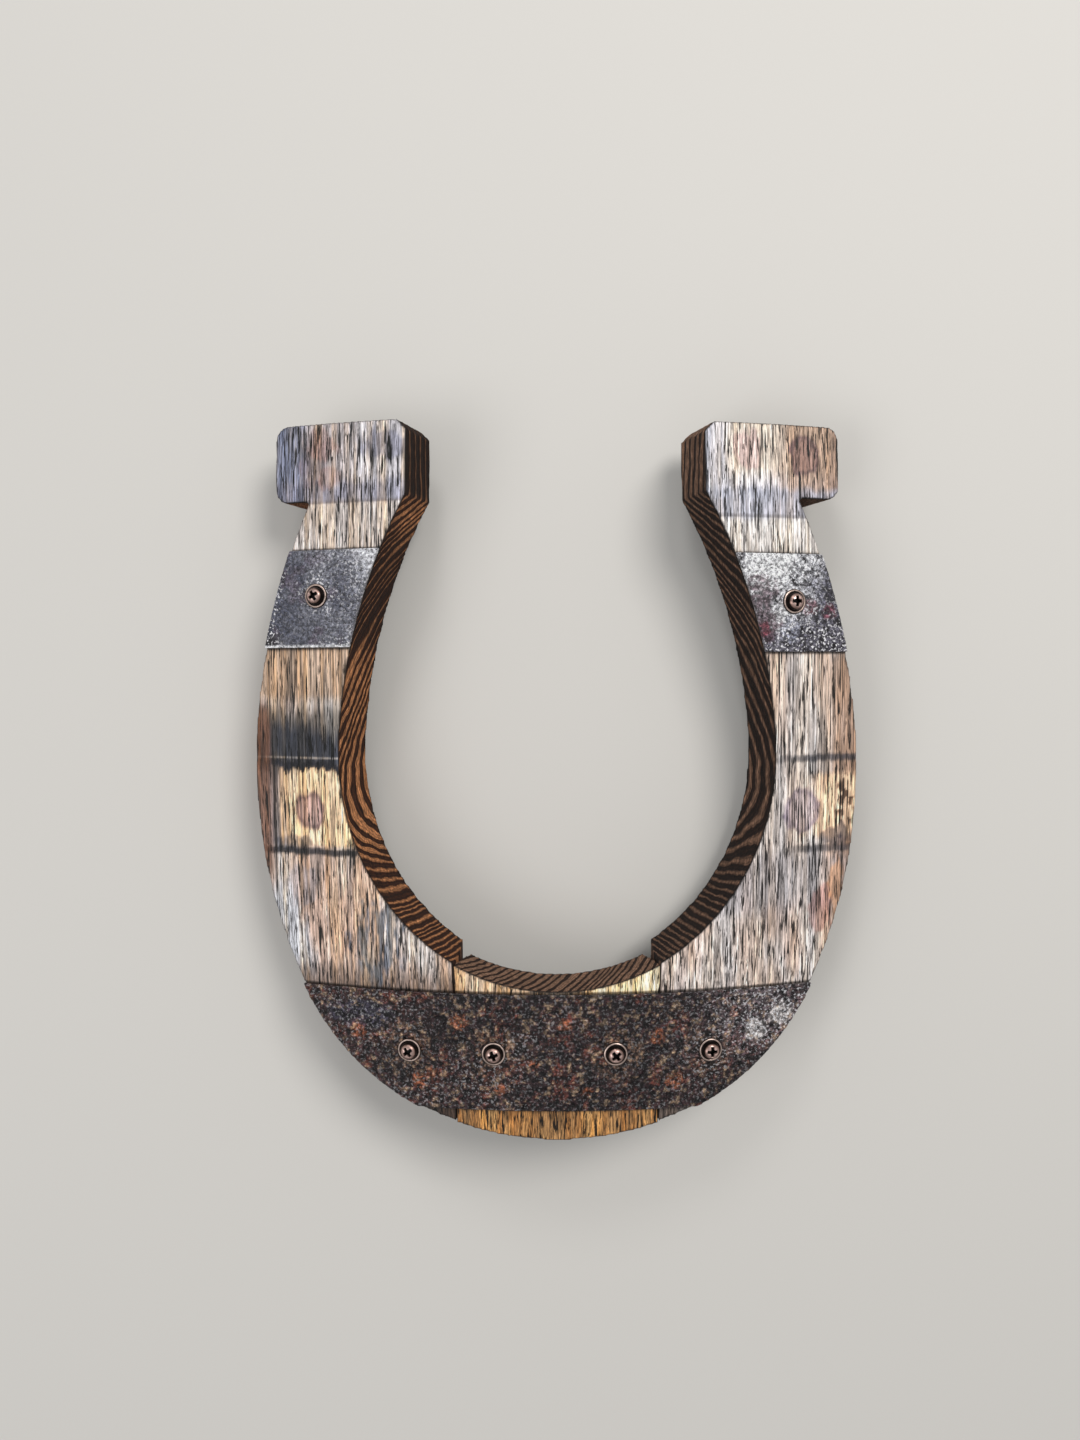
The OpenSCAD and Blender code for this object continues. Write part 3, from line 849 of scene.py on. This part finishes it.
def screw_rings():
    """Rings of a flanged pan-head screw from the middle of its head down to its point."""
    rings_down = []
    dome, flange = np.linspace(0.00012, HEAD_R * 0.985, 46), np.linspace(HEAD_R, FLANGE_R - 0.0002, 14)
    for r in (*dome, *flange):
        ring = circle(r, head_height(r))
        ring[:, 2] -= RECESS_D * recess(ring[:, 0], ring[:, 1])
        rings_down.append(ring)
    edge = float(head_height(FLANGE_R))
    for r, z in ((FLANGE_R - 0.00005, edge - 0.00006), (FLANGE_R, edge - 0.0002),
                 (FLANGE_R, 0.00012), (FLANGE_R - 0.00012, 0.0), (0.0023, 0.0)):
        rings_down.append(circle(r, z))
    # The core narrows towards the point, and the thread fades out at both of its ends
    for k in range(THREAD_STEPS + 1):
        z = -0.0002 - (SCREW_L - 0.0004) * k / THREAD_STEPS
        core = SHANK_R * CORE * min(1.0, (SCREW_L + z) / 0.004 + 0.12)
        fade = min(1.0, k / 14) * min(1.0, (SCREW_L + z) / 0.002)
        ridge = np.abs(((ANGLES / (2 * math.pi) + z / THREAD_PITCH) % 1.0) - 0.5) * 2
        rings_down.append(circle(core + SHANK_R * (1 - CORE) * fade * step(0.55, 1.0, ridge), z))
    return rings_down


def screw_mesh(name):
    """A flanged pan-head screw, its flange's underside at z = 0 and its point downwards."""
    rings_down = screw_rings()
    top = float(head_height(0.0)) - RECESS_D
    points = np.concatenate([[[0, 0, top]], *rings_down, [[0, 0, -SCREW_L]]])
    faces = [(0, 1 + i, 1 + (i + 1) % TURNS) for i in range(TURNS)]
    for k in range(len(rings_down) - 1):
        a, b = 1 + k * TURNS, 1 + (k + 1) * TURNS
        for i in range(TURNS):
            j = (i + 1) % TURNS
            faces.append((a + i, b + i, b + j, a + j))
    last, tip = 1 + (len(rings_down) - 1) * TURNS, len(points) - 1
    faces += [(last + (i + 1) % TURNS, last + i, tip) for i in range(TURNS)]
    mesh = bpy.data.meshes.new(name)
    mesh.from_pydata(points.tolist(), [], faces)
    mesh.update()
    shade_smooth(mesh)
    r = np.hypot(points[:, 0], points[:, 1])
    # Painted light on the bronze: painted highlights on the dome and on the flange, painted shade in
    # the groove between them, and a painted shadow round the flange's edge
    colour = lay(plain("#8d6f64", len(points)), "#c8aba2", 1 - step(0.0016, 0.0034, r))
    colour = lay(colour, "#c3ada2", step(HEAD_R + 0.0004, HEAD_R + 0.0008, r))
    colour = lay(colour, "#120a08", 1 - step(0.0003, 0.0008, np.abs(r - HEAD_R)))
    colour = lay(colour, "#241813", step(FLANGE_R - 0.0004, FLANGE_R - 0.0002, r))
    # Painted shade: the cross recess coloured near black
    sunk = recess(points[:, 0], points[:, 1]) * (points[:, 2] > 0)
    colour = lay(colour, "#030202", step(0.1, 0.5, sunk))
    store(mesh, "tint", lay(colour, "#4a3a32", (points[:, 2] < 0.0002) * 1.0))
    return mesh


def screw(node, material, spin):
    """A screw that stands where its CAD node does, square to the barrel's face."""
    co = points_of(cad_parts[node].data)
    axis = outward(co.mean(0)[None])[0]
    along = co @ axis
    tip = co[along < along.min() + 0.0002].mean(0)
    turn = Vector((0, 0, 1)).rotation_difference(Vector(axis)).to_matrix().to_4x4()
    spun = Matrix.Rotation(math.radians(spin), 4, "Z")
    mesh = screw_mesh(node + "_body")
    mesh.transform(Matrix.Translation(Vector(tip + axis * SCREW_L)) @ turn @ spun)
    mesh.materials.append(material)
    return link(bpy.data.objects.new(node + "_body", mesh))


# ---------------------------------------------------------------- stage, light and camera

SKY_COLOUR, SKY_STRENGTH = (0.96, 0.98, 1.0, 1), 0.42
# Disc lamps aimed at the origin: name, place, size, power and colour
LAMPS = (("key", (0.75, 0.9, 1.5), 0.8, 20, (1.0, 0.98, 0.95)),
         ("fill", (-1.1, -0.4, 1.4), 1.0, 8, (1, 1, 1)),
         ("back", (-0.3, 1.5, 1.2), 0.5, 6, (1, 1, 1)))
LENS = 27.05                    # focal length for a sensor 36 mm wide
EYE = Vector((0.0004, 0.0503, RIDGE_Z + 0.4436))       # the camera fitted to the photograph
EYE_TURNS = ((-0.0055, "Z"), (0.0149, "Y"), (-0.0514, "X"))    # from looking straight down


def stage():
    """Plain pale floor at the height that the object rests on."""
    bpy.ops.mesh.primitive_plane_add(size=6, location=(0, 0, CAD_LOW.z))
    floor = bpy.context.object
    floor.name = "floor"
    material, _, _, shader = new_material("pale_floor")
    shader.inputs["Base Color"].default_value = (*linear("#cbc8c3"), 1)
    shader.inputs["Roughness"].default_value = 0.7
    floor.data.materials.append(material)


def lamp(name, place, size, power, colour):
    """A disc-shaped lamp that shines at the origin."""
    data = bpy.data.lights.new(name, "AREA")
    data.shape = "DISK"
    data.size = size
    data.energy = power
    data.color = colour
    stand = link(bpy.data.objects.new(name, data))
    stand.location = place
    stand.rotation_euler = (-Vector(place)).to_track_quat("-Z", "Y").to_euler()


def lights():
    """Even light from all round, with three soft lamps."""
    world = bpy.data.worlds.new("studio")
    world.use_nodes = True
    sky = world.node_tree.nodes["Background"]
    sky.inputs["Color"].default_value = SKY_COLOUR
    sky.inputs["Strength"].default_value = SKY_STRENGTH
    bpy.context.scene.world = world
    for values in LAMPS:
        lamp(*values)
    bpy.context.scene.view_settings.view_transform = "Standard"


def camera():
    """Looks almost straight down on the object as it lies."""
    data = bpy.data.cameras.new("camera")
    data.sensor_width = 36
    data.lens = LENS
    data.clip_start = 0.01
    eye = link(bpy.data.objects.new("camera", data))
    place = Matrix.Translation(EYE)
    for angle, axis in EYE_TURNS:
        place = place @ Matrix.Rotation(angle, 4, axis)
    eye.matrix_world = place
    bpy.context.scene.camera = eye


# ---------------------------------------------------------------- building

# Node, front, cuts, width of a growth ring, colour of its late wood, amber, seed
STAVES = (
    ("left_stave", left_face, left_cuts, 0.0020, "#b0774e", 0.8, 1),
    ("centre_stave", centre_face, centre_cuts, 0.0033, "#8e6c56", 1.0, 6),
    ("right_stave", right_face, right_cuts, 0.0021, "#785a48", 0.35, 2),
)
# How far each screw's cross is turned, in degrees
CROSS_TURNS = {"left_band_screw": 30, "right_band_screw": 0, "toe_band_screw_1": 35,
               "toe_band_screw_2": 20, "toe_band_screw_3": 40, "toe_band_screw_4": 0}


def finish_piece(piece, node):
    """Ties a piece to the one body and hides the CAD node that it stands for."""
    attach(piece, "root")
    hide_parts(node)


def build_staves():
    """The three oak staves."""
    for i, (node, face, cut_values, width, late, warm, seed) in enumerate(STAVES):
        piece = stave(node, face, cut_values, width, late, seed)
        piece.data.materials.append(wood_material(node + "_wood", (11 * i, 3 * i, 0), warm))
        finish_piece(piece, node)


def build_strips():
    """The rusty toe strip and the two zinc-coated arm strips."""
    rusty = steel_material("toe_band_steel", (0, 0, 0), 620, 0.20, 1.5, 0.24)
    piece = strip("toe_band", rusty, TOE_STRIP_VOXELS, 101, TOE_RUST, toe_paint)
    finish_piece(piece, "toe_band")
    arms = (("left_band", left_strip_paint), ("right_band", right_strip_paint))
    for i, (node, paint) in enumerate(arms):
        zinc = steel_material(node + "_steel", (4 + 3 * i, 2, 0), 750, 0.30, 1.1 + 0.4 * i, 0.3)
        piece = strip(node, zinc, ARM_STRIP_VOXELS, 111 + 10 * i, ARM_RUST, paint)
        finish_piece(piece, node)


def build_screws():
    """The six screws, all of one bronze."""
    bronze = screw_material()
    for node, turned in CROSS_TURNS.items():
        finish_piece(screw(node, bronze, turned), node)


camera()
lights()
stage()
build_staves()
build_strips()
build_screws()
